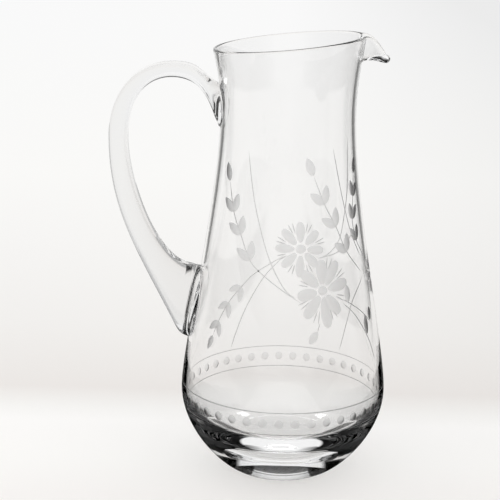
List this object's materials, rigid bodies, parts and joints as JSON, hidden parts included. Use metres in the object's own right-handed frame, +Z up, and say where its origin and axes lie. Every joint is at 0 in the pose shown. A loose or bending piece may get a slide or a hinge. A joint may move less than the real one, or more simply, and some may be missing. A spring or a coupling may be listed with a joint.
{
  "type": "cocktail pitcher",
  "caption": "Clear glass pitcher with a round belly, a slim flared neck, a turned-down pouring lip and a loop handle for mixing and pouring drinks.",
  "frame": {"origin": "centre of the flat foot, on the surface that the pitcher stands on", "axes": "+Z up along the axis of the vessel, +X towards the pouring lip, so the handle is on -X"},
  "size_m": [0.1567, 0.116, 0.2493],
  "materials": {
    "body_glass": "clear, fire polished, with frosted wheel cutting on the wall",
    "handle_glass": "clear, fire polished"
  },
  "bodies": {
    "root": {"pitcher_body": "body_glass", "handle": "handle_glass"}
  },
  "joints": []
}
